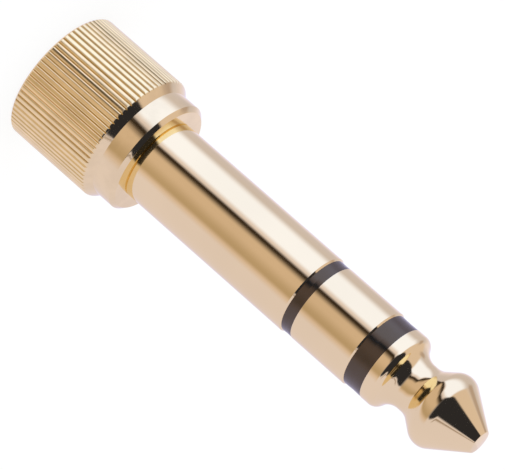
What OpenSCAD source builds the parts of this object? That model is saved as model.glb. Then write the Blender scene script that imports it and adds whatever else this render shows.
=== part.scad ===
// Screw-on audio adapter: a 3.5 mm stereo socket on a 6.35 mm stereo plug.
// It stands on the grip's rear face at z = 0, with the plug's tip pointing up along +Z.
// All sizes are in millimetres.

/* [Grip] */
// Diameter over the crests of the knurl
grip_d = 10.16; // [9.6:0.02:10.6]
// Length from the rear face to the start of the rounded front edge
grip_l = 7.07; // [6:0.01:10]
// Number of straight teeth round the grip
teeth = 72; // [48:1:96]
// Depth of the V groove between two teeth
tooth_depth = 0.14; // [0.08:0.01:0.18]
// Width of each tooth's crest
crest_w = 0.16; // [0.1:0.01:0.2]
// Bevel on the grip's rear outer edge
grip_bevel = 0.15; // [0.05:0.01:0.4]
// Slope of the grip's front bevel, from the axis
front_angle = 45; // [40:0.5:55]
// Radius of the edge between the grip and its front bevel
front_round = 0.3; // [0.1:0.01:0.5]

/* [Collar] */
// Diameter of the smooth collar in front of the grip
collar_d = 9.04; // [8.6:0.02:9.4]
// Length of the smooth collar
collar_l = 1.84; // [1:0.01:4]
// Bevel on the collar's front edge
collar_bevel = 0.31; // [0.1:0.01:0.5]

/* [Threaded mouth] */
// Nominal diameter of the internal thread that the small plug screws into
thread_d = 6; // [5.5:0.1:6.6]
// Depth of the threaded mouth
mouth_depth = 4.4; // [3:0.1:5.5]
// Lead-in bevel at the mouth
mouth_bevel = 0.3; // [0.1:0.05:0.5]
// Thickness of the web at the bottom of the mouth
web_t = 0.6; // [0.4:0.05:1]
// Diameter of the hole in the web, which the small plug passes freely
web_hole_d = 4; // [3.9:0.05:4.4]

/* [Plug shaft] */
// Diameter of the sleeve, the long tube
sleeve_d = 6.35; // [6.2:0.01:6.5]
// Visible length of the sleeve, from the collar to the first black ring
sleeve_l = 14.98; // [14:0.02:20]
// Width of the black ring behind the ring contact
ring_band_w = 0.89; // [0.6:0.01:1.5]
// Diameter of the ring contact
ring_d = 6.17; // [6:0.01:6.35]
// Length of the ring contact
ring_l = 4.93; // [3:0.01:7]
// Width of the black ring behind the tip
tip_band_w = 1.55; // [0.8:0.01:2.5]
// How far the black rings lie below the metal in front of them, on the radius
band_sink = 0.02; // [0:0.01:0.1]
// How much deeper the black rings are in the middle, where the plastic has shrunk
band_hollow = 0.02; // [0.01:0.01:0.05]
// Bevel on the front ends of the sleeve and the ring contact
end_bevel = 0.13; // [0.05:0.01:0.25]
// Bevel on the sleeve's rear edge, where it meets the collar
root_bevel = 0.09; // [0.05:0.01:0.12]
// Diameter of the sleeve's turned-down rear end, which is pressed into the collar
spigot_d = 5.9; // [5.8:0.01:6]

/* [Tip] */
// Diameter of the tip's base, next to the black ring
tip_d = 6; // [5.8:0.01:6.2]
// Length of the tip's plain base
tip_base_l = 0.66; // [0.4:0.01:2]
// Radius of the round shoulder that ends the base
shoulder_round = 0.6; // [0.3:0.01:0.8]
// Radius of the hollow curve from the shoulder into the neck
neck_sweep = 1.38; // [1:0.01:1.8]
// Diameter of the neck
neck_d = 3.85; // [3.5:0.01:4.2]
// Length of the neck's straight part
neck_l = 0.27; // [0.1:0.01:1]
// Radius of the hollow curve from the neck to the ball
ball_sweep = 1.25; // [0.5:0.01:1.5]
// Slope of the ball's back, from the axis
ball_back_angle = 36.5; // [35:0.5:45]
// Diameter of the ball
ball_d = 5.93; // [5.7:0.01:6.1]
// Radius of the ball's rounded crown
ball_round = 1.29; // [0.8:0.01:1.5]
// Half angle of the cone
cone_angle = 34.75; // [30:0.25:40]
// Diameter of the blunt nose's end face
nose_d = 1.72; // [1:0.01:2]
// Radius of the edge between the cone and the nose's end face
nose_round = 0.1; // [0.05:0.01:0.3]
// Height of the end face's slight dome
nose_h = 0.04; // [0.03:0.01:0.3]

/* [Plug core] */
// Diameter of the tip's centre rod
rod_d = 1.6; // [1.2:0.05:1.7]
// Wall of the thin tube of the tip bush, round the rod
tip_bush_wall = 0.45; // [0.3:0.01:0.5]
// Wall of the ring contact's rear tube
ring_tube_wall = 0.35; // [0.25:0.01:0.4]
// Wall of the ring bush's tube
ring_bush_wall = 0.4; // [0.25:0.01:0.45]
// How far the rod's peened end stands out round the rod
peen_w = 0.4; // [0.2:0.05:0.5]
// Height of the rod's peened end
peen_h = 0.25; // [0.15:0.05:0.4]
// How far the ring tube's flared end stands out round the tube
flare_w = 0.25; // [0.15:0.01:0.3]
// Thickness of the ring tube's flared end
flare_t = 0.15; // [0.1:0.01:0.2]

/* [Socket] */
// Diameter of the carrier's throat, which guides a 3.5 mm plug
socket_d = 3.6; // [3.55:0.01:3.7]
// Length of the throat
throat_l = 2.6; // [2:0.1:2.8]
// Diameter of the carrier's bore past the throat, round the contact points
relief_d = 4; // [3.95:0.05:4.2]
// Depth of the socket, from the web's rear face to the carrier's end
socket_depth = 14.9; // [14.5:0.1:15.5]
// Bore of the chamber in the sleeve that holds the socket carrier
chamber_d = 5.3; // [5.2:0.02:5.4]
// Thickness of the carrier's flange
flange_t = 0.8; // [0.5:0.05:1.2]

/* [Springs and washers] */
// Thickness of the spring strip
strip_t = 0.2; // [0.15:0.01:0.25]
// Width of the spring leaves
leaf_w = 1.3; // [1:0.05:1.5]
// How far the leaves reach into the socket's bore with no plug in
leaf_reach = 0.4; // [0.2:0.05:0.6]
// Length of the sloped part of a leaf, on each side of its contact point
leaf_slope = 1.1; // [0.8:0.05:1.4]
// How far a leaf's foot overlaps the rim of its washer
leaf_foot = 0.2; // [0.15:0.01:0.22]
// Depth at which the ground leaf touches the small plug
ground_touch = 4.5; // [4.2:0.1:5]
// Depth at which the ring leaf touches the small plug
ring_touch = 9.3; // [9:0.1:9.6]
// Depth at which the tip leaf touches the small plug
tip_touch = 12.2; // [12:0.1:12.6]
// Thickness of the terminal washer's floor
terminal_t = 0.45; // [0.3:0.05:0.7]
// Thickness of the shoulder washer
shoulder_t = 0.4; // [0.25:0.05:0.7]

/* [Clearances] */
// Radial gap of pieces that slide together
fit_gap = 0.05; // [0.03:0.01:0.08]
// Radial gap left in the model where pieces are pressed together
press_gap = 0.01; // [0.005:0.005:0.02]
// Gap on each side of a leaf in its slot
slot_gap = 0.15; // [0.1:0.01:0.25]
// Radial gap between a leaf and the metal outside or inside it
leaf_gap = 0.15; // [0.1:0.01:0.2]

/* [Hidden] */
$fn = 96;

GOLD = [0.93, 0.79, 0.56];
BLACK = [0.10, 0.09, 0.11];
BRONZE = [0.80, 0.55, 0.32];
CARD = [0.45, 0.25, 0.16];

grip_r = grip_d / 2;
root_r = grip_r - tooth_depth;
// Angle that a tooth takes round the grip, and the part of it that is crest
tooth_turn = 360 / teeth;
crest_turn = 2 * asin(crest_w / 2 / grip_r);
collar_r = collar_d / 2;
// The front edge is an arc and then a straight bevel down to the collar: this is where the bevel starts.
bevel_r = grip_r - front_round * (1 - cos(front_angle));
z_bevel = grip_l + front_round * sin(front_angle);
front_steps = 4;
z_collar = z_bevel + (bevel_r - collar_r) / tan(front_angle);
z_face = z_collar + collar_l;

sleeve_r = sleeve_d / 2;
ring_r = ring_d / 2;
tip_r = tip_d / 2;
z_sleeve_end = z_face + sleeve_l;
z_ring = z_sleeve_end + ring_band_w;
z_ring_end = z_ring + ring_l;
z_tip = z_ring_end + tip_band_w;

// The shaft's core, from the rod outwards
rod_r = rod_d / 2;
tip_bush_in = rod_r + fit_gap;
tip_bush_out = tip_bush_in + tip_bush_wall;
ring_tube_in = tip_bush_out + fit_gap;
ring_tube_out = ring_tube_in + ring_tube_wall;
flare_r = ring_tube_out + flare_w;
ring_bush_in = ring_tube_out + fit_gap;
ring_bush_out = ring_bush_in + ring_bush_wall;
front_bore_r = ring_bush_out + fit_gap;

// The socket, from the mouth forwards
thread_r = thread_d / 2;
web_hole_r = web_hole_d / 2;
socket_r = socket_d / 2;
relief_r = relief_d / 2;
chamber_r = chamber_d / 2;
carrier_r = chamber_r - fit_gap;
spigot_r = spigot_d / 2;
flange_r = spigot_r - fit_gap;
seat_r = spigot_r + press_gap;
z_web = mouth_depth;
z_flange = z_web + web_t;
z_relief = z_flange + throat_l;
z_ground = z_flange + flange_t;
z_sleeve = z_ground + strip_t;
z_carrier_end = z_web + socket_depth;
z_tip_washer = z_carrier_end + fit_gap;
z_terminal = z_tip_washer + strip_t;
z_flare_seat = z_terminal + terminal_t;
z_ring_washer = z_flare_seat + fit_gap + flare_t;
z_shoulder_washer = z_ring_washer + strip_t;
z_step = z_shoulder_washer + shoulder_t;

// Radii of the washers, which keep clear of the leaf that passes outside them
leaf_out = chamber_r - leaf_gap;
leaf_in = leaf_out - strip_t;
terminal_r = leaf_in - fit_gap;
tip_washer_r = terminal_r - leaf_gap;
touch_r = socket_r - leaf_reach;

// The tip's outline: two arcs make the shoulder, two more and a straight slope make the ball's back.
neck_r = neck_d / 2;
ball_r = ball_d / 2;
nose_r = nose_d / 2;
z_shoulder = z_tip + tip_base_l;
shoulder_turn = acos(1 - (tip_r - neck_r) / (shoulder_round + neck_sweep));
z_neck = z_shoulder + (shoulder_round + neck_sweep) * sin(shoulder_turn);
z_neck_end = z_neck + neck_l;
back_arcs = ball_sweep + ball_round;
back_run = (ball_r - neck_r - back_arcs * (1 - cos(ball_back_angle))) / sin(ball_back_angle);
z_ball = z_neck_end + back_arcs * sin(ball_back_angle) + back_run * cos(ball_back_angle);
z_cone = z_ball + ball_round * sin(cone_angle);
cone_r = ball_r - ball_round * (1 - cos(cone_angle));
// The cone ends where the nose's rounded edge begins.
cone_end_r = nose_r + nose_round * cos(cone_angle);
z_cone_end = z_cone + (cone_r - cone_end_r) / tan(cone_angle);
z_nose = z_cone_end + nose_round * (1 - sin(cone_angle));
// Radius of the sphere whose cap is the nose's domed end face
nose_sphere = (nose_r * nose_r + nose_h * nose_h) / (2 * nose_h);
z_end = z_nose + nose_h;

// How far a cut runs past the face that it opens
cut = 1;
// How far the rod runs into the tip, so that they are one solid
rod_root = 0.5;

// A solid turned round the axis, from its half section given as [radius, z] points
module turned(points) {
    rotate_extrude()
        polygon(points);
}

// A washer that lies flat, with its underside at height z
module washer(outer_r, inner_r, z, t) {
    turned([[inner_r, z], [outer_r, z], [outer_r, z + t], [inner_r, z + t]]);
}

// A bent strip standing on edge: its section is given as [radius, z] points, and it is leaf_w wide
module leaf(section, side) {
    rotate([90, 0, side])
        translate([0, 0, -leaf_w / 2])
            linear_extrude(leaf_w)
                polygon(section);
}

// The section of a leaf that leaves its washer at z_foot and runs to the contact point at z_touch.
// way is 1 when it runs towards the tip of the plug and -1 when it runs back. The foot starts at
// radius foot_r on the washer, and z_back is the face of the washer that looks away from the leaf.
function leaf_section(foot_r, out_r, z_foot, z_back, z_touch, way) =
    let (in_r = out_r - strip_t, z_bend = z_touch - way * leaf_slope, z_free = z_touch + way * leaf_slope / 2,
         free_r = touch_r + (in_r - touch_r) / 2)
    [[foot_r, z_foot], [in_r, z_foot], [in_r, z_bend], [touch_r, z_touch], [free_r, z_free],
     [free_r + strip_t, z_free], [touch_r + strip_t, z_touch], [out_r, z_bend], [out_r, z_back],
     [foot_r, z_back]];

// The slot that a leaf needs in the carrier's wall, from z0 to z1
module leaf_slot(side, z0, z1) {
    rotate([0, 0, side])
        translate([0, -leaf_w / 2 - slot_gap, z0])
            cube([chamber_r, leaf_w + 2 * slot_gap, z1 - z0]);
}

// Half section of the grip's drum before the teeth are cut, with its rounded front edge and bevel
function drum_section() = concat(
    [[0, 0], [grip_r - grip_bevel, 0], [grip_r, grip_bevel]],
    [for (i = [0 : front_steps])
        let (a = front_angle * i / front_steps)
            [grip_r - front_round * (1 - cos(a)), grip_l + front_round * sin(a)]],
    [[collar_r, z_collar], [0, z_collar]]);

// One tooth of the knurl as [radius, angle] corners: the crest's two, and the bottom of the groove beside it
tooth = [[grip_r, -crest_turn / 2], [grip_r, crest_turn / 2], [root_r, tooth_turn / 2]];

// Outline of the knurl
function knurl_outline() = [
    for (i = [0 : teeth - 1], corner = tooth)
        let (r = corner[0], a = i * tooth_turn + corner[1])
            [r * cos(a), r * sin(a)]
];

module knurled_head() {
    color(GOLD)
        difference() {
            union() {
                intersection() {
                    turned(drum_section());
                    linear_extrude(z_collar)
                        polygon(knurl_outline());
                }
                turned([[0, grip_l / 2], [collar_r, grip_l / 2], [collar_r, z_face - collar_bevel],
                        [collar_r - collar_bevel, z_face], [0, z_face]]);
            }
            turned([[0, -cut], [thread_r + mouth_bevel + cut, -cut], [thread_r, mouth_bevel],
                    [thread_r, z_web], [web_hole_r, z_web], [web_hole_r, z_flange], [seat_r, z_flange],
                    [seat_r, z_face + cut], [0, z_face + cut]]);
        }
}

module sleeve_contact() {
    color(GOLD)
        turned([[chamber_r, z_sleeve], [spigot_r, z_sleeve], [spigot_r, z_face],
                [sleeve_r - root_bevel, z_face], [sleeve_r, z_face + root_bevel],
                [sleeve_r, z_sleeve_end - end_bevel], [sleeve_r - end_bevel, z_sleeve_end],
                [front_bore_r, z_sleeve_end], [front_bore_r, z_step], [chamber_r, z_step]]);
}

module socket_carrier() {
    color(BLACK)
        difference() {
            turned([[socket_r, z_flange], [flange_r, z_flange], [flange_r, z_ground], [carrier_r, z_ground],
                    [carrier_r, z_carrier_end], [relief_r, z_carrier_end], [relief_r, z_relief],
                    [socket_r, z_relief]]);
            leaf_slot(90, z_ground, z_web + ground_touch + leaf_slope);
            leaf_slot(180, z_web + ring_touch - leaf_slope, z_carrier_end + cut);
            leaf_slot(0, z_web + tip_touch - leaf_slope, z_carrier_end + cut);
        }
}

module ground_spring() {
    color(BRONZE) {
        washer(flange_r, chamber_r, z_ground, strip_t);
        leaf(leaf_section(flange_r - leaf_foot, leaf_out, z_ground, z_sleeve, z_web + ground_touch, 1), 90);
    }
}

module ring_spring() {
    color(BRONZE) {
        washer(terminal_r, ring_tube_out + press_gap, z_ring_washer, strip_t);
        leaf(leaf_section(terminal_r - leaf_foot, leaf_out, z_ring_washer, z_shoulder_washer,
                          z_web + ring_touch, -1), 180);
    }
}

module tip_spring() {
    color(BRONZE) {
        washer(tip_washer_r, rod_r + press_gap, z_tip_washer, strip_t);
        leaf(leaf_section(tip_washer_r - leaf_foot, tip_washer_r + strip_t, z_tip_washer, z_terminal,
                          z_web + tip_touch, -1), 0);
    }
}

module terminal_washer() {
    color(CARD)
        turned([[tip_bush_out + press_gap, z_terminal], [terminal_r, z_terminal], [terminal_r, z_ring_washer],
                [flare_r + fit_gap, z_ring_washer], [flare_r + fit_gap, z_flare_seat],
                [tip_bush_out + press_gap, z_flare_seat]]);
}

module shoulder_washer() {
    color(CARD)
        washer(carrier_r, ring_tube_out + press_gap, z_shoulder_washer, shoulder_t);
}

// The rim of a black ring from z0 to z1, as points of its half section
function band_rim(r, z0, z1) = [[r, z0], [r - band_hollow, (z0 + z1) / 2], [r, z1]];

module ring_insulator() {
    color(BLACK)
        turned(concat([[ring_bush_in, z_step], [ring_bush_out, z_step], [ring_bush_out, z_sleeve_end]],
                      band_rim(ring_r - band_sink, z_sleeve_end, z_ring), [[ring_bush_in, z_ring]]));
}

module ring_contact() {
    color(GOLD)
        turned([[ring_tube_in, z_ring_washer - flare_t], [flare_r, z_ring_washer - flare_t],
                [flare_r, z_ring_washer], [ring_tube_out, z_ring_washer],
                [ring_tube_out, z_ring], [ring_r, z_ring], [ring_r, z_ring_end - end_bevel],
                [ring_r - end_bevel, z_ring_end], [ring_tube_in, z_ring_end]]);
}

module tip_insulator() {
    color(BLACK)
        turned(concat([[tip_bush_in, z_terminal + fit_gap], [tip_bush_out, z_terminal + fit_gap],
                       [tip_bush_out, z_ring_end]],
                      band_rim(tip_r - band_sink, z_ring_end, z_tip), [[tip_bush_in, z_tip]]));
}

// Half section of the tip in front of the black ring
module tip_section() {
    difference() {
        union() {
            polygon([[0, z_tip], [tip_r, z_tip], [tip_r, z_shoulder],
                     [tip_r - shoulder_round * (1 - cos(shoulder_turn)),
                      z_shoulder + shoulder_round * sin(shoulder_turn)],
                     [neck_r, z_neck], [neck_r, z_neck_end],
                     [neck_r + ball_sweep * (1 - cos(ball_back_angle)),
                      z_neck_end + ball_sweep * sin(ball_back_angle)],
                     [ball_r - ball_round * (1 - cos(ball_back_angle)),
                      z_ball - ball_round * sin(ball_back_angle)],
                     [cone_r, z_cone], [cone_end_r, z_cone_end], [nose_r, z_nose], [0, z_nose]]);
            translate([tip_r - shoulder_round, z_shoulder])
                circle(shoulder_round);
            translate([ball_r - ball_round, z_ball])
                circle(ball_round);
            translate([nose_r, z_nose - nose_round])
                circle(nose_round);
            intersection() {
                translate([0, z_end - nose_sphere])
                    circle(nose_sphere);
                translate([0, z_nose])
                    square([nose_r, nose_h]);
            }
        }
        translate([neck_r + neck_sweep, z_neck])
            circle(neck_sweep);
        translate([neck_r + ball_sweep, z_neck_end])
            circle(ball_sweep);
    }
}

module tip_contact() {
    color(GOLD) {
        rotate_extrude()
            tip_section();
        translate([0, 0, z_tip_washer])
            cylinder(h = z_tip + rod_root - z_tip_washer, r = rod_r);
        translate([0, 0, z_tip_washer - peen_h])
            cylinder(h = peen_h, r = rod_r + peen_w);
    }
}

knurled_head();
sleeve_contact();
socket_carrier();
ground_spring();
ring_spring();
tip_spring();
terminal_washer();
shoulder_washer();
ring_insulator();
ring_contact();
tip_insulator();
tip_contact();
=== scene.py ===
"""Looks of the screw-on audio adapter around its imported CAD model: knurl, thread, finishes and studio."""
import math
import random

import bmesh
import bpy
from mathutils import Matrix, Vector


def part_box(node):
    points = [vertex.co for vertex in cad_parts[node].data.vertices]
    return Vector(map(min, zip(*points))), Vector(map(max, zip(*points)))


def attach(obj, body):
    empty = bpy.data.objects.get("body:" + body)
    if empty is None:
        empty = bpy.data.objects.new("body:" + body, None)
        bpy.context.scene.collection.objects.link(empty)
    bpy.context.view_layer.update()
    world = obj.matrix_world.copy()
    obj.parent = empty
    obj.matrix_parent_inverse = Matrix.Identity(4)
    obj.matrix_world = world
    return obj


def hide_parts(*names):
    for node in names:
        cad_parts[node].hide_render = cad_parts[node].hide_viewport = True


MM = 0.001
TURN = 2 * math.pi
random.seed(11)

# The photograph's camera, solved from the object's outline
PHOTO_W = 505
FOCAL_PX = 4469.6
SENSOR_W = 36.0
NEAR_CLIP, FAR_CLIP = 0.01, 10.0
TILT = math.radians(18.935)
ROLL = math.radians(131.3)
CAMERA_DISTANCE = 307.3 * MM
AIM = Vector((-0.413 * MM, 0.0, 18.396 * MM))
# How far the camera and the studio stand round the axis, so that the teeth fall where the photograph has them
KNURL_TURN = math.radians(1.15)

# The head, in millimetres: sizes that its box doesn't give
TEETH = 72
TOOTH_DEPTH = 0.105
CREST_W = 0.16
CREST_ROUND = 0.12
CREST_WEAR = 0.12  # the share by which a crest is wider or narrower than it should be
FLANK_ANGLE = math.radians(45)
GRIP_L = 7.07
GRIP_BEVEL = 0.15
FRONT_ANGLE = math.radians(45)
FRONT_ROUND = 0.3
FRONT_STEPS = 6
COLLAR_R = 4.52
COLLAR_BEVEL = 0.31
EDGE_ROUND = 0.05
EDGE_STEPS = 3
SEAT_R = 2.96
BORE_SEGMENTS = 2 * TEETH
MOUTH_R = 3.0
MOUTH_DEPTH = 4.4
MOUTH_BEVEL = 0.3
WEB_T = 0.6
WEB_HOLE_R = 2.0

# The thread in the mouth, in millimetres. Its marks are where its foot and crest lie in one pitch.
THREAD_PITCH = 0.5
THREAD_H = 0.27
THREAD_MARKS = ((0.06, 0.0), (0.44, 1.0), (0.56, 1.0), (0.94, 0.0))
THREAD_RUN_IN = 0.12
THREAD_RUN_OUT = 0.2
THREAD_CLEAR = 0.25

# The tip, in millimetres
TIP_R = 3.0
BASE_L = 0.66
SHOULDER_ROUND = 0.6
NECK_SWEEP = 1.38
NECK_R = 1.925
NECK_L = 0.27
BALL_SWEEP = 1.25
BACK_ANGLE = math.radians(36.5)
BALL_R = 2.965
BALL_ROUND = 1.29
CONE_ANGLE = math.radians(34.75)
NOSE_R = 0.86
NOSE_ROUND = 0.1
NOSE_H = 0.04
ROD_R = 0.8
PEEN_W = 0.4
PEEN_H = 0.25
TIP_SEGMENTS = 256
SHOULDER_STEPS, NECK_STEPS, SWEEP_STEPS, BALL_STEPS, NOSE_STEPS = 16, 24, 16, 36, 6

# Meshes: vertices that lie this near are one, and edges that turn less than this are smooth
WELD = 1e-5
SHARP_ANGLE = math.radians(28)

# Colours, linear
GOLD = (0.94, 0.76, 0.40)
KNURL_GOLD = (0.98, 0.78, 0.37)
GOLD_WORN = (0.90, 0.80, 0.58)
GOLD_RIM = (1.0, 0.98, 0.9)
# Painted shade: the colour that darkens the deepest part of the knurl's grooves
GROOVE_SHADE = (0.55, 0.40, 0.22)
BRONZE = (0.80, 0.50, 0.27)
BRONZE_WORN = (0.88, 0.66, 0.42)
RING_BLACK = (0.004, 0.008, 0.011)
RING_SHEEN = (1.0, 0.70, 0.38)
CARRIER_BLACK = (0.016, 0.015, 0.017)
BOARD_BROWN = (0.16, 0.055, 0.022)
WHITE = (1.0, 1.0, 1.0)
BLACK = (0.0, 0.0, 0.0)

# Noise in the finishes: scales in noise cells a metre, and the span that most of its values fall in
SMUDGE_SCALE = 420.0
DRIFT_SCALE = 130.0
TURNING_SCALE = (250.0, 250.0, 7000.0)
KNURL_SMUDGE_SCALE = 700.0
DRAG_SCALE = (9000.0, 9000.0, 500.0)
MOTTLE_SCALE = 1100.0
PEEL_SCALE = 9000.0
FIBRE_SCALE = (2500.0, 9000.0, 15000.0)
WIDE, NARROW = (0.3, 0.7), (0.35, 0.65)

# Relief of the finishes, in metres
SMUDGE_RELIEF = 2e-6
TURNING_RELIEF = 0.35e-6
STRIP_RELIEF = 0.8e-6
DRAG_RELIEF = 0.8e-6
RING_RELIEF = 1e-6
CARRIER_RELIEF = 2e-6
FIBRE_RELIEF = 6e-6

# What shiny surfaces see, linear
RIGHT_SIDE = (0.79, 0.75, 1.06)
REAR_CORNER = (0.87, 0.84, 1.22)
REAR_LEFT = (0.66, 0.645, 0.93)
UPPER_LEFT = (0.75, 0.65, 0.75)
KEY_LIGHT = (1.04, 1.20, 2.04)
POST = (0.50, 0.42, 0.50)
CARD_LEFT, CARD_RIGHT = (0.68, 0.55, 0.55), (0.51, 0.40, 0.34)
CARD_GLOW = (0.73, 0.61, 0.68)
GAP = (0.04, 0.028, 0.022)
FRINGE = (0.36, 0.29, 0.31)
FLAG = (0.027, 0.028, 0.045)

# Where it stands, in degrees: azimuths from the camera's side, elevations as named. A pair is where an edge
# starts and ends to fade; a four is both edges of a band and how soft each of them is.
REAR_CORNER_FADE = (-162, -148)
REAR_LEFT_BAND = (-145, -97, 9, 8)
UPPER_LEFT_BAND = (-165, -20, 15, 3)
KEY_LEFT_FADE = (-114, -85)
KEY_RIGHT_FADE = (-25, -11)
KEY_TOP_ELEVATION = (20, 31)
POST_BAND = (-133, -116, 5, 5)
POST_ELEVATION = (12, 33, 7, 8)
CARD_LEFT_FADE = (-5, 5)
CARD_SHADE = (5, 38)
CARD_RIGHT_FADE = (38, 52)
GLOW_RIGHT_FADE = (46, 66)
CARD_TOP_ELEVATION = (0, 14)
GAP_BAND = (-7.5, 8, 4.5, 9)
GAP_NARROWS_ELEVATION = (-44, -24)
GAP_NARROWING = 1.7
GAP_TOP_ELEVATION = (6, 20)
FRINGE_BAND = (-15, -8.5, 4, 3)
FRINGE_FOOT_ELEVATION = (30, 45)
FLAG_EDGE_FADE = (-5, 5)
FLAG_FOOT_ELEVATION = (0, 16)

# Slanting edges as (elevation, azimuth), straight in between: the gap between the key light and the tan card,
# which swings to the left lower down, and the dark flag's two sides
GAP_PATH = ((-62, -115), (-54, -76), (-46, -56), (-36, -43), (-30, -35), (-22, -22.5), (-12, -18),
            (0, -14))
FLAG_LEFT = ((0, -26), (14, -31), (22, -38), (27, -42), (32, -51), (48, -64), (56, -72), (66, -95),
             (80, -190))
FLAG_RIGHT = ((0, 36), (20, 43), (38, 38), (50, 29), (63, 31), (72, 60), (80, 190))

# The floor: half its side and how far it lies under the head, in metres, its colour, and its glow for the
# camera
FLOOR_HALF = 3.0
FLOOR_DROP = 0.01 * MM
FLOOR_COLOUR = (0.9, 0.9, 0.9)
FLOOR_GLOW = 1.05
FLOOR_GLOW_SHARE = 0.8


class Graph:
    """Short calls for the nodes of one material or world."""

    def __init__(self, tree):
        self.tree = tree
        self.nodes = tree.nodes
        self.nodes.clear()

    def node(self, kind, **settings):
        made = self.nodes.new(kind)
        for name, value in settings.items():
            setattr(made, name, value)
        return made

    def put(self, socket, value):
        if isinstance(value, bpy.types.NodeSocket):
            self.tree.links.new(value, socket)
        elif hasattr(socket.default_value, "__len__") and len(socket.default_value) == 4:
            socket.default_value = (*value, 1.0)
        else:
            socket.default_value = value

    def math(self, operation, *values):
        made = self.node("ShaderNodeMath", operation=operation)
        for socket, value in zip(made.inputs, values):
            self.put(socket, value)
        return made.outputs[0]

    def times(self, first, *others):
        for value in others:
            first = self.math("MULTIPLY", first, value)
        return first

    def ramp(self, value, low, high, out_low=0.0, out_high=1.0, kind="SMOOTHSTEP"):
        made = self.node("ShaderNodeMapRange", interpolation_type=kind)
        for name, item in (("Value", value), ("From Min", low), ("From Max", high),
                           ("To Min", out_low), ("To Max", out_high)):
            self.put(made.inputs[name], item)
        return made.outputs["Result"]

    def fade(self, value, low, high):
        """1 below the low value and 0 above the high one."""
        return self.ramp(value, low, high, 1.0, 0.0)

    def band(self, value, low, high, soft_low, soft_high):
        """1 between two soft edges and 0 outside them."""
        return self.times(self.ramp(value, low - soft_low, low + soft_low),
                          self.fade(value, high - soft_high, high + soft_high))

    def curve(self, value, points):
        """The second number of the points at this value of the first, straight between the points."""
        out = points[0][1]
        for (a, b), (c, d) in zip(points, points[1:]):
            out = self.math("ADD", out, self.ramp(value, a, c, 0.0, d - b, "LINEAR"))
        return out

    def mix(self, factor, first, second):
        made = self.node("ShaderNodeMix", data_type="RGBA")
        self.put(made.inputs[0], factor)
        self.put(made.inputs[6], first)
        self.put(made.inputs[7], second)
        return made.outputs[2]

    def stretch(self, vector, scale):
        made = self.node("ShaderNodeVectorMath", operation="MULTIPLY")
        self.put(made.inputs[0], vector)
        self.put(made.inputs[1], scale)
        return made.outputs[0]

    def noise(self, vector, scale=1.0, detail=2.0, roughness=0.5):
        made = self.node("ShaderNodeTexNoise")
        self.put(made.inputs["Vector"], vector)
        self.put(made.inputs["Scale"], scale)
        self.put(made.inputs["Detail"], detail)
        self.put(made.inputs["Roughness"], roughness)
        return made.outputs["Fac"]

    def bump(self, height, distance, normal=None):
        """Relief from a height of 0 to 1, whose top stands out by the distance in metres."""
        made = self.node("ShaderNodeBump")
        self.put(made.inputs["Strength"], 1.0)
        self.put(made.inputs["Distance"], distance)
        self.put(made.inputs["Height"], height)
        if normal is not None:
            self.put(made.inputs["Normal"], normal)
        return made.outputs[0]

    def edges(self, radius, low, high):
        """1 on edges and 0 on open faces, from how far the normals turn within the radius."""
        smooth = self.node("ShaderNodeBevel", samples=4)
        self.put(smooth.inputs["Radius"], radius)
        plain = self.node("ShaderNodeNewGeometry").outputs["Normal"]
        dot = self.node("ShaderNodeVectorMath", operation="DOT_PRODUCT")
        self.put(dot.inputs[0], smooth.outputs[0])
        self.put(dot.inputs[1], plain)
        return self.fade(dot.outputs["Value"], low, high)


def new_material(name):
    material = bpy.data.materials.new(name)
    material.use_nodes = True
    g = Graph(material.node_tree)
    place = g.node("ShaderNodeTexCoord").outputs["Object"]
    shader = g.node("ShaderNodeBsdfPrincipled")
    out = g.node("ShaderNodeOutputMaterial")
    g.put(out.inputs["Surface"], shader.outputs[0])
    return material, g, place, shader


def shaded(colour, factor):
    return tuple(c * factor for c in colour)


def plated_metal(name, colour, worn, rim, roughness, marks):
    """Metal with faint turning marks round the axis, smudges and slightly paler edges."""
    material, g, place, shader = new_material(name)
    smudge = g.noise(place, SMUDGE_SCALE, detail=3.0)
    drift = g.ramp(g.noise(place, DRIFT_SCALE), *NARROW)
    tone = g.mix(drift, colour, shaded(colour, 0.965))
    g.put(shader.inputs["Base Color"], g.mix(g.edges(0.05 * MM, 0.75, 0.97), tone, worn))
    g.put(shader.inputs["Metallic"], 1.0)
    g.put(shader.inputs["Specular Tint"], rim)
    g.put(shader.inputs["Roughness"], g.ramp(smudge, *WIDE, roughness * 0.75, roughness * 1.3))
    rings = g.noise(g.stretch(place, TURNING_SCALE), detail=3.0, roughness=0.6)
    g.put(shader.inputs["Normal"], g.bump(rings, marks, g.bump(smudge, SMUDGE_RELIEF)))
    return material


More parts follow.
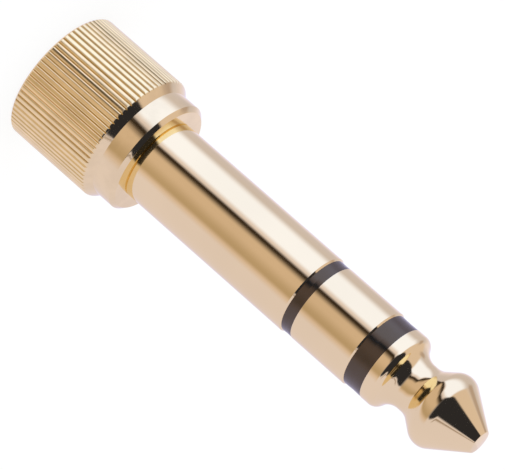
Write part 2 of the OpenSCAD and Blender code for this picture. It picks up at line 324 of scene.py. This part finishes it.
def knurled_metal(name, colour, knurl_colour, worn, rim, roughness, knurl_roughness):
    """The head's plated metal: polished in front, duller on the knurl, with painted shade darkening its
    grooves.
    """
    material, g, place, shader = new_material(name)
    smudge = g.noise(place, KNURL_SMUDGE_SCALE, detail=3.0)
    height = g.node("ShaderNodeSeparateXYZ")
    g.put(height.inputs[0], place)
    front = g.ramp(height.outputs[2], (GRIP_L + 0.05) * MM, (GRIP_L + 0.3) * MM)
    plating = g.mix(front, knurl_colour, colour)
    tone = g.mix(g.ramp(smudge, *NARROW, 0.0, 0.06), plating, BLACK)
    # Painted shade: the colour is darkened by up to a tenth in the deepest part of each groove, where shade
    # falls
    groove = g.node("ShaderNodeAttribute", attribute_name="groove").outputs["Fac"]
    groove_shaded = g.mix(g.ramp(groove, 0.6, 1.0, 0.0, 0.1), tone, GROOVE_SHADE)
    g.put(shader.inputs["Base Color"], g.mix(g.edges(0.03 * MM, 0.6, 0.95), groove_shaded, worn))
    g.put(shader.inputs["Metallic"], 1.0)
    g.put(shader.inputs["Specular Tint"], rim)
    dull = g.ramp(front, 0.0, 1.0, knurl_roughness, roughness, "LINEAR")
    g.put(shader.inputs["Roughness"], g.times(dull, g.ramp(smudge, *WIDE, 0.88, 1.12)))
    drag = g.noise(g.stretch(place, DRAG_SCALE))
    g.put(shader.inputs["Normal"], g.bump(drag, DRAG_RELIEF, g.bump(smudge, SMUDGE_RELIEF)))
    return material


def plastic(name, colour, sheen, roughness, ior, grain):
    """Moulded plastic with a little mottle and orange peel."""
    material, g, place, shader = new_material(name)
    mottle = g.noise(place, MOTTLE_SCALE, detail=4.0, roughness=0.6)
    g.put(shader.inputs["Base Color"], g.mix(g.ramp(mottle, *WIDE), colour, shaded(colour, 1.35)))
    g.put(shader.inputs["Roughness"], g.ramp(mottle, *WIDE, roughness * 0.8, roughness * 1.2))
    g.put(shader.inputs["IOR"], ior)
    g.put(shader.inputs["Specular Tint"], sheen)
    g.put(shader.inputs["Normal"], g.bump(g.noise(place, PEEL_SCALE), grain))
    return material


def pressed_board(name, colour):
    """Brown laminated board: fibres lie in the washer's plane."""
    material, g, place, shader = new_material(name)
    fibre = g.noise(g.stretch(place, FIBRE_SCALE), detail=4.0, roughness=0.65)
    g.put(shader.inputs["Base Color"], g.mix(g.ramp(fibre, *WIDE), colour, shaded(colour, 1.8)))
    g.put(shader.inputs["Roughness"], g.ramp(fibre, *WIDE, 0.5, 0.75))
    g.put(shader.inputs["Normal"], g.bump(fibre, FIBRE_RELIEF))
    return material


def dress(obj, material):
    """Gives a CAD node's every material slot this material."""
    if not obj.data.materials:
        obj.data.materials.append(material)
    for slot in obj.material_slots:
        slot.material = material


def add_piece(name, mesh_maker, material, node_name):
    """A mesh from mesh_maker(bm) in millimetres, shown in place of the CAD node."""
    bm = bmesh.new()
    mesh_maker(bm)
    bmesh.ops.remove_doubles(bm, verts=bm.verts, dist=WELD)
    bmesh.ops.recalc_face_normals(bm, faces=bm.faces)
    for face in bm.faces:
        face.smooth = True
    for edge in bm.edges:
        edge.smooth = edge.calc_face_angle(0.0) < SHARP_ANGLE
    bmesh.ops.scale(bm, vec=(MM, MM, MM), verts=bm.verts)
    mesh = bpy.data.meshes.new(name)
    bm.to_mesh(mesh)
    bm.free()
    mesh.materials.append(material)
    obj = bpy.data.objects.new(name, mesh)
    bpy.context.scene.collection.objects.link(obj)
    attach(obj, "root")
    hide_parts(node_name)


def on_circle(r, angle, z):
    return (r * math.cos(angle), r * math.sin(angle), z)


def arc(centre_r, centre_z, radius, start, end, steps):
    """Points of a profile's arc. Angles run from straight outwards towards the tip."""
    return [(centre_r + radius * math.cos(a), centre_z + radius * math.sin(a))
            for a in (start + (end - start) * i / steps for i in range(steps + 1))]


def join_rings(bm, lower, upper):
    """Faces between two rings of vertices. The longer ring's count is a multiple of the shorter one's."""
    fine, coarse = (lower, upper) if len(lower) > len(upper) else (upper, lower)
    if len(coarse) == 1:
        for i, vertex in enumerate(fine):
            bm.faces.new((vertex, fine[(i + 1) % len(fine)], coarse[0]))
        return
    ratio = len(fine) // len(coarse)
    for i, vertex in enumerate(coarse):
        run = [fine[(i * ratio + k) % len(fine)] for k in range(ratio + 1)]
        bm.faces.new(run + [coarse[(i + 1) % len(coarse)], vertex])


def lathe(bm, profile, angles):
    """Turns a profile of (r, z) points and joins the rings. A point on the axis is one vertex."""
    rings = [[bm.verts.new(on_circle(r, a, z)) for a in (angles if r > 1e-6 else [0.0])] for r, z in profile]
    for lower, upper in zip(rings, rings[1:]):
        join_rings(bm, lower, upper)
    return rings


def flank_place(drop, valley):
    """How far from its middle a tooth is this deep: a flat crest, a rounded edge and a straight flank."""
    round_end = CREST_W / 2 + CREST_ROUND * math.sin(FLANK_ANGLE)
    round_drop = CREST_ROUND * (1 - math.cos(FLANK_ANGLE))
    if drop < round_drop:
        return CREST_W / 2 + math.sqrt(CREST_ROUND ** 2 - (CREST_ROUND - drop) ** 2)
    return round_end + (valley - round_end) * (drop - round_drop) / (TOOTH_DEPTH - round_drop)


def knurl_columns(grip_r, drops):
    """Angles round the head and the groove's depth at each. The depths are those of the edge's rows."""
    valley = math.pi * grip_r / TEETH
    angles, depths = [], []
    for tooth in range(TEETH):
        wear = CREST_W / 2 * random.uniform(-CREST_WEAR, CREST_WEAR)
        middle = TURN * tooth / TEETH
        flank = [((flank_place(drop, valley) + wear * (1 - drop / TOOTH_DEPTH)) / grip_r, drop)
                 for drop in drops]
        for a, depth in [(-a, d) for a, d in reversed(flank[:-1])] + [(0.0, 0.0)] + flank:
            angles.append(middle + a)
            depths.append(depth)
    return angles, depths


def knurled_rings(bm, profile, angles, depths, groove):
    """The profile turned and cut by the grooves. Each quad is folded along its outer diagonal, so that the
    grooves run out of the bevels in sharp points."""
    outer_r = max(r for r, z in profile)
    rings = []
    for r, z in profile:
        ring = []
        for a, depth in zip(angles, depths):
            radius = min(r, outer_r - depth)
            ring.append(bm.verts.new(on_circle(radius, a, z)))
            ring[-1][groove] = (r - radius) / TOOTH_DEPTH
        rings.append(ring)
    for lower, upper in zip(rings, rings[1:]):
        for i in range(len(angles)):
            j = (i + 1) % len(angles)
            a, b, c, d = lower[i], lower[j], upper[j], upper[i]
            if (a.co + c.co).xy.length < (b.co + d.co).xy.length:
                a, b, c, d = b, c, d, a
            bm.faces.new((a, b, c))
            bm.faces.new((a, c, d))
    return rings


def thread_wall(bm, angles):
    """The mouth's wall from its bevel to the bottom of the mouth, with a right-handed thread on it."""
    z_low, z_high = MOUTH_BEVEL, MOUTH_DEPTH
    z_last = z_high - THREAD_CLEAR
    turns = int((z_high - z_low) / THREAD_PITCH) + 3
    rows = []
    for turn in range(-1, turns):
        for mark, level in THREAD_MARKS:
            row = []
            for a in angles:
                z = z_low + THREAD_PITCH * (turn + mark + a / TURN - 1)
                z = min(max(z, z_low), z_high)
                full = max(0.0, min(1.0, (z - z_low) / THREAD_RUN_IN, (z_last - z) / THREAD_RUN_OUT))
                row.append(bm.verts.new(on_circle(MOUTH_R - THREAD_H * level * full, a, z)))
            rows.append(row)
    per_turn = len(THREAD_MARKS)
    for n, (lower, upper) in enumerate(zip(rows, rows[1:])):
        for i in range(len(angles) - 1):
            bm.faces.new((lower[i], lower[i + 1], upper[i + 1], upper[i]))
        if n + 1 + per_turn < len(rows):
            bm.faces.new((lower[-1], rows[n + per_turn][0], rows[n + 1 + per_turn][0], upper[-1]))


def make_head(bm):
    """Grip, collar, bore and threaded mouth, turned from one bar."""
    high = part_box("knurled_head")[1]
    grip_r, z_face = high.x / MM, high.z / MM
    z_flange = MOUTH_DEPTH + WEB_T
    groove = bm.verts.layers.float.new("groove")
    edge = arc(grip_r - FRONT_ROUND, GRIP_L, FRONT_ROUND, 0, FRONT_ANGLE, FRONT_STEPS)
    drops = [grip_r - r for r, z in edge] + [TOOTH_DEPTH]
    angles, depths = knurl_columns(grip_r, drops)
    rear_bevel = [(grip_r - drop, GRIP_BEVEL - drop) for drop in [GRIP_BEVEL] + drops[::-1]]
    z_groove_end = edge[-1][1] + (TOOTH_DEPTH - drops[-2]) / math.tan(FRONT_ANGLE)
    z_collar = edge[-1][1] + (edge[-1][0] - COLLAR_R) / math.tan(FRONT_ANGLE)
    grip = rear_bevel + edge + [(grip_r - TOOTH_DEPTH, z_groove_end)]
    knurl = knurled_rings(bm, grip, angles, depths, groove)

    nub = EDGE_ROUND * math.tan(math.pi / 8)
    z_bevel, bevel_r = z_face - COLLAR_BEVEL - nub, COLLAR_R - COLLAR_BEVEL - nub
    collar = lathe(bm, [(COLLAR_R, z_collar)]
                   + arc(COLLAR_R - EDGE_ROUND, z_bevel, EDGE_ROUND, 0, math.pi / 4, EDGE_STEPS)
                   + arc(bevel_r, z_face - EDGE_ROUND, EDGE_ROUND, math.pi / 4, math.pi / 2, EDGE_STEPS),
                   angles)
    bore_angles = angles[::len(angles) // BORE_SEGMENTS]
    bore = lathe(bm, [(SEAT_R, z_face), (SEAT_R, z_flange), (WEB_HOLE_R, z_flange), (WEB_HOLE_R, MOUTH_DEPTH),
                      (MOUTH_R, MOUTH_DEPTH)], bore_angles)
    mouth = lathe(bm, [(MOUTH_R, MOUTH_BEVEL), (MOUTH_R + MOUTH_BEVEL, 0.0)], bore_angles)
    join_rings(bm, knurl[-1], collar[0])
    join_rings(bm, collar[-1], bore[0])
    join_rings(bm, mouth[-1], knurl[0])
    thread_wall(bm, bore_angles)


def tip_profile():
    """Half section of the tip and its rod, from the same radii as the CAD model."""
    low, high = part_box("tip_contact")
    z_end, z_peen = high.z / MM, low.z / MM
    turn = math.acos(1 - (TIP_R - NECK_R) / (SHOULDER_ROUND + NECK_SWEEP))
    arcs = BALL_SWEEP + BALL_ROUND
    run = (BALL_R - NECK_R - arcs * (1 - math.cos(BACK_ANGLE))) / math.sin(BACK_ANGLE)
    cone_end_r = NOSE_R + NOSE_ROUND * math.cos(CONE_ANGLE)
    cone_r = BALL_R - BALL_ROUND * (1 - math.cos(CONE_ANGLE))
    # Down from the nose, so that the whole section hangs on the box's upper end
    z_nose = z_end - NOSE_H
    z_cone_end = z_nose - NOSE_ROUND * (1 - math.sin(CONE_ANGLE))
    z_cone = z_cone_end - (cone_r - cone_end_r) / math.tan(CONE_ANGLE)
    z_ball = z_cone - BALL_ROUND * math.sin(CONE_ANGLE)
    z_neck_end = z_ball - arcs * math.sin(BACK_ANGLE) - run * math.cos(BACK_ANGLE)
    z_neck = z_neck_end - NECK_L
    z_shoulder = z_neck - (SHOULDER_ROUND + NECK_SWEEP) * math.sin(turn)
    z_tip = z_shoulder - BASE_L
    dome = (NOSE_R ** 2 + NOSE_H ** 2) / (2 * NOSE_H)
    dome_turn = math.asin(NOSE_R / dome)
    return ([(0.0, z_peen), (ROD_R + PEEN_W, z_peen), (ROD_R + PEEN_W, z_peen + PEEN_H),
             (ROD_R, z_peen + PEEN_H), (ROD_R, z_tip), (TIP_R, z_tip)]
            + arc(TIP_R - SHOULDER_ROUND, z_shoulder, SHOULDER_ROUND, 0, turn, SHOULDER_STEPS)
            + arc(NECK_R + NECK_SWEEP, z_neck, NECK_SWEEP, math.pi + turn, math.pi, NECK_STEPS)[1:]
            + arc(NECK_R + BALL_SWEEP, z_neck_end, BALL_SWEEP, math.pi, math.pi - BACK_ANGLE, SWEEP_STEPS)
            + arc(BALL_R - BALL_ROUND, z_ball, BALL_ROUND, -BACK_ANGLE, CONE_ANGLE, BALL_STEPS)
            + arc(NOSE_R, z_nose - NOSE_ROUND, NOSE_ROUND, CONE_ANGLE, math.pi / 2, NOSE_STEPS)
            + arc(0.0, z_end - dome, dome, math.pi / 2 - dome_turn, math.pi / 2, NOSE_STEPS)[1:-1]
            + [(0.0, z_end)])


def make_tip(bm):
    lathe(bm, tip_profile(), [TURN * i / TIP_SEGMENTS for i in range(TIP_SEGMENTS)])


def look_direction(g):
    """Azimuth from the camera's side, and elevation, in degrees."""
    parts = g.node("ShaderNodeSeparateXYZ")
    g.put(parts.inputs[0], g.node("ShaderNodeTexCoord").outputs["Generated"])
    x, y, z = parts.outputs
    azimuth = g.math("DEGREES", g.math("ARCTAN2", x, g.math("MULTIPLY", y, -1.0)))
    azimuth = g.math("SUBTRACT", azimuth, math.degrees(KNURL_TURN))
    return azimuth, g.math("DEGREES", g.math("ARCSINE", z))


def left_side(g, colour, az, el, past_gap):
    """The walls on the left and behind, the key light's big diffuser and a brown post behind its edge."""
    colour = g.mix(g.fade(az, *REAR_CORNER_FADE), colour, REAR_CORNER)
    colour = g.mix(g.band(az, *REAR_LEFT_BAND), colour, REAR_LEFT)
    upper = g.times(g.band(az, *UPPER_LEFT_BAND), g.ramp(el, *KEY_TOP_ELEVATION))
    colour = g.mix(upper, colour, UPPER_LEFT)
    key = g.times(g.ramp(az, *KEY_LEFT_FADE), g.fade(past_gap, *KEY_RIGHT_FADE),
                  g.fade(el, *KEY_TOP_ELEVATION))
    colour = g.mix(key, colour, KEY_LIGHT)
    return g.mix(g.times(g.band(az, *POST_BAND), g.band(el, *POST_ELEVATION)), colour, POST)


def tan_card(g, colour, az, el, past_gap):
    """The tan card in front, darker towards its right edge, the glow beyond it and the dark gap beside it."""
    near = g.times(g.ramp(past_gap, *CARD_LEFT_FADE), g.fade(el, *CARD_TOP_ELEVATION))
    colour = g.mix(g.times(near, g.fade(az, *GLOW_RIGHT_FADE)), colour, CARD_GLOW)
    card = g.mix(g.ramp(az, *CARD_SHADE), CARD_LEFT, CARD_RIGHT)
    colour = g.mix(g.times(near, g.fade(az, *CARD_RIGHT_FADE)), colour, card)
    narrowed = g.math("DIVIDE", past_gap, g.ramp(el, *GAP_NARROWS_ELEVATION, GAP_NARROWING, 1.0))
    return g.mix(g.times(g.band(narrowed, *GAP_BAND), g.fade(el, *GAP_TOP_ELEVATION)), colour, GAP)


def dark_flag(g, colour, az, el):
    """The dark flag above the card, with a paler fringe outside its right edge."""
    from_left = g.math("SUBTRACT", az, g.curve(el, FLAG_LEFT))
    from_right = g.math("SUBTRACT", g.curve(el, FLAG_RIGHT), az)
    fringe = g.times(g.band(from_right, *FRINGE_BAND), g.ramp(el, *FRINGE_FOOT_ELEVATION))
    colour = g.mix(fringe, colour, FRINGE)
    flag = g.times(g.ramp(from_left, *FLAG_EDGE_FADE), g.ramp(from_right, *FLAG_EDGE_FADE),
                   g.ramp(el, *FLAG_FOOT_ELEVATION))
    return g.mix(flag, colour, FLAG)


def studio_world():
    """White for the camera and diffuse light. Shiny surfaces see soft boxes, a tan card and a dark flag."""
    world = bpy.data.worlds.new("studio")
    bpy.context.scene.world = world
    world.use_nodes = True
    world.cycles.sampling_method = "NONE"
    g = Graph(world.node_tree)
    az, el = look_direction(g)
    past_gap = g.math("SUBTRACT", az, g.curve(el, GAP_PATH))
    colour = left_side(g, RIGHT_SIDE, az, el, past_gap)
    colour = tan_card(g, colour, az, el, past_gap)
    colour = dark_flag(g, colour, az, el)
    shiny = g.node("ShaderNodeLightPath").outputs["Is Glossy Ray"]
    back = g.node("ShaderNodeBackground")
    g.put(back.inputs["Color"], g.mix(shiny, WHITE, colour))
    g.put(back.inputs["Strength"], 1.0)
    out = g.node("ShaderNodeOutputWorld")
    g.put(out.inputs["Surface"], back.outputs[0])


def floor_material():
    """Shows white to the camera and still takes the object's shadow."""
    material = bpy.data.materials.new("floor")
    material.use_nodes = True
    g = Graph(material.node_tree)
    diffuse = g.node("ShaderNodeBsdfDiffuse")
    g.put(diffuse.inputs["Color"], FLOOR_COLOUR)
    glow = g.node("ShaderNodeEmission")
    g.put(glow.inputs["Color"], WHITE)
    g.put(glow.inputs["Strength"], FLOOR_GLOW)
    seen = g.node("ShaderNodeLightPath").outputs["Is Camera Ray"]
    blend = g.node("ShaderNodeMixShader")
    g.put(blend.inputs[0], g.times(seen, FLOOR_GLOW_SHARE))
    g.put(blend.inputs[1], diffuse.outputs[0])
    g.put(blend.inputs[2], glow.outputs[0])
    out = g.node("ShaderNodeOutputMaterial")
    g.put(out.inputs["Surface"], blend.outputs[0])
    return material


def make_floor():
    """A pale floor, a hair below the head's rear face, so that the two never coincide."""
    corners = ((-1, -1), (1, -1), (1, 1), (-1, 1))
    mesh = bpy.data.meshes.new("floor")
    mesh.from_pydata([(x * FLOOR_HALF, y * FLOOR_HALF, -FLOOR_DROP) for x, y in corners], [],
                     [(0, 1, 2, 3)])
    mesh.materials.append(floor_material())
    floor = bpy.data.objects.new("floor", mesh)
    bpy.context.scene.collection.objects.link(floor)
    floor.visible_glossy = False


def make_camera():
    data = bpy.data.cameras.new("camera")
    data.sensor_fit = "HORIZONTAL"
    data.sensor_width = SENSOR_W
    data.lens = FOCAL_PX * SENSOR_W / PHOTO_W
    data.clip_start = NEAR_CLIP
    data.clip_end = FAR_CLIP
    camera = bpy.data.objects.new("camera", data)
    bpy.context.scene.collection.objects.link(camera)
    # Camera axes: X to the right and Y up in the picture, Z backwards
    back = Vector((0.0, -math.cos(TILT), math.sin(TILT)))
    up = Vector((0.0, math.sin(TILT), math.cos(TILT)))
    right = Vector((1.0, 0.0, 0.0))
    turn = Matrix.Rotation(ROLL, 3, back)
    rotation = Matrix((turn @ right, turn @ up, back)).transposed()
    place = Matrix.Translation(AIM + back * CAMERA_DISTANCE) @ rotation.to_4x4()
    camera.matrix_world = Matrix.Rotation(KNURL_TURN, 4, "Z") @ place
    bpy.context.scene.camera = camera


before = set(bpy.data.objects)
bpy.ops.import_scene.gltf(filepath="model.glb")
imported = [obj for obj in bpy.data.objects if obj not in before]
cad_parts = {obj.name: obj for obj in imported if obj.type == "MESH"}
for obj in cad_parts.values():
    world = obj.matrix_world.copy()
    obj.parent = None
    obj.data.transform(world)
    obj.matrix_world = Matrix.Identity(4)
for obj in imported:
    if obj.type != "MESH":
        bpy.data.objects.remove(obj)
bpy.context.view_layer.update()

gold = plated_metal("gold_turned", GOLD, GOLD_WORN, GOLD_RIM, roughness=0.07, marks=TURNING_RELIEF)
knurl_gold = knurled_metal("gold_knurled", GOLD, KNURL_GOLD, GOLD_WORN, GOLD_RIM,
                           roughness=0.08, knurl_roughness=0.16)
black = plastic("insulator_black", RING_BLACK, RING_SHEEN, roughness=0.16, ior=1.95, grain=RING_RELIEF)
moulded = plastic("moulded_black", CARRIER_BLACK, WHITE, roughness=0.45, ior=1.5, grain=CARRIER_RELIEF)
bronze = plated_metal("spring_bronze", BRONZE, BRONZE_WORN, WHITE, roughness=0.22, marks=STRIP_RELIEF)
board = pressed_board("washer_board", BOARD_BROWN)
FINISH = {
    "knurled_head": knurl_gold, "sleeve_contact": gold, "ring_contact": gold, "tip_contact": gold,
    "socket_carrier": moulded, "ground_spring": bronze, "ring_spring": bronze, "tip_spring": bronze,
    "terminal_washer": board, "shoulder_washer": board, "ring_insulator": black, "tip_insulator": black,
}
for node_name, material in FINISH.items():
    dress(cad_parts[node_name], material)

add_piece("head_with_knurl_and_thread", make_head, knurl_gold, "knurled_head")
add_piece("tip_turned", make_tip, gold, "tip_contact")

studio_world()
make_floor()
make_camera()
bpy.context.scene.view_settings.view_transform = "Standard"
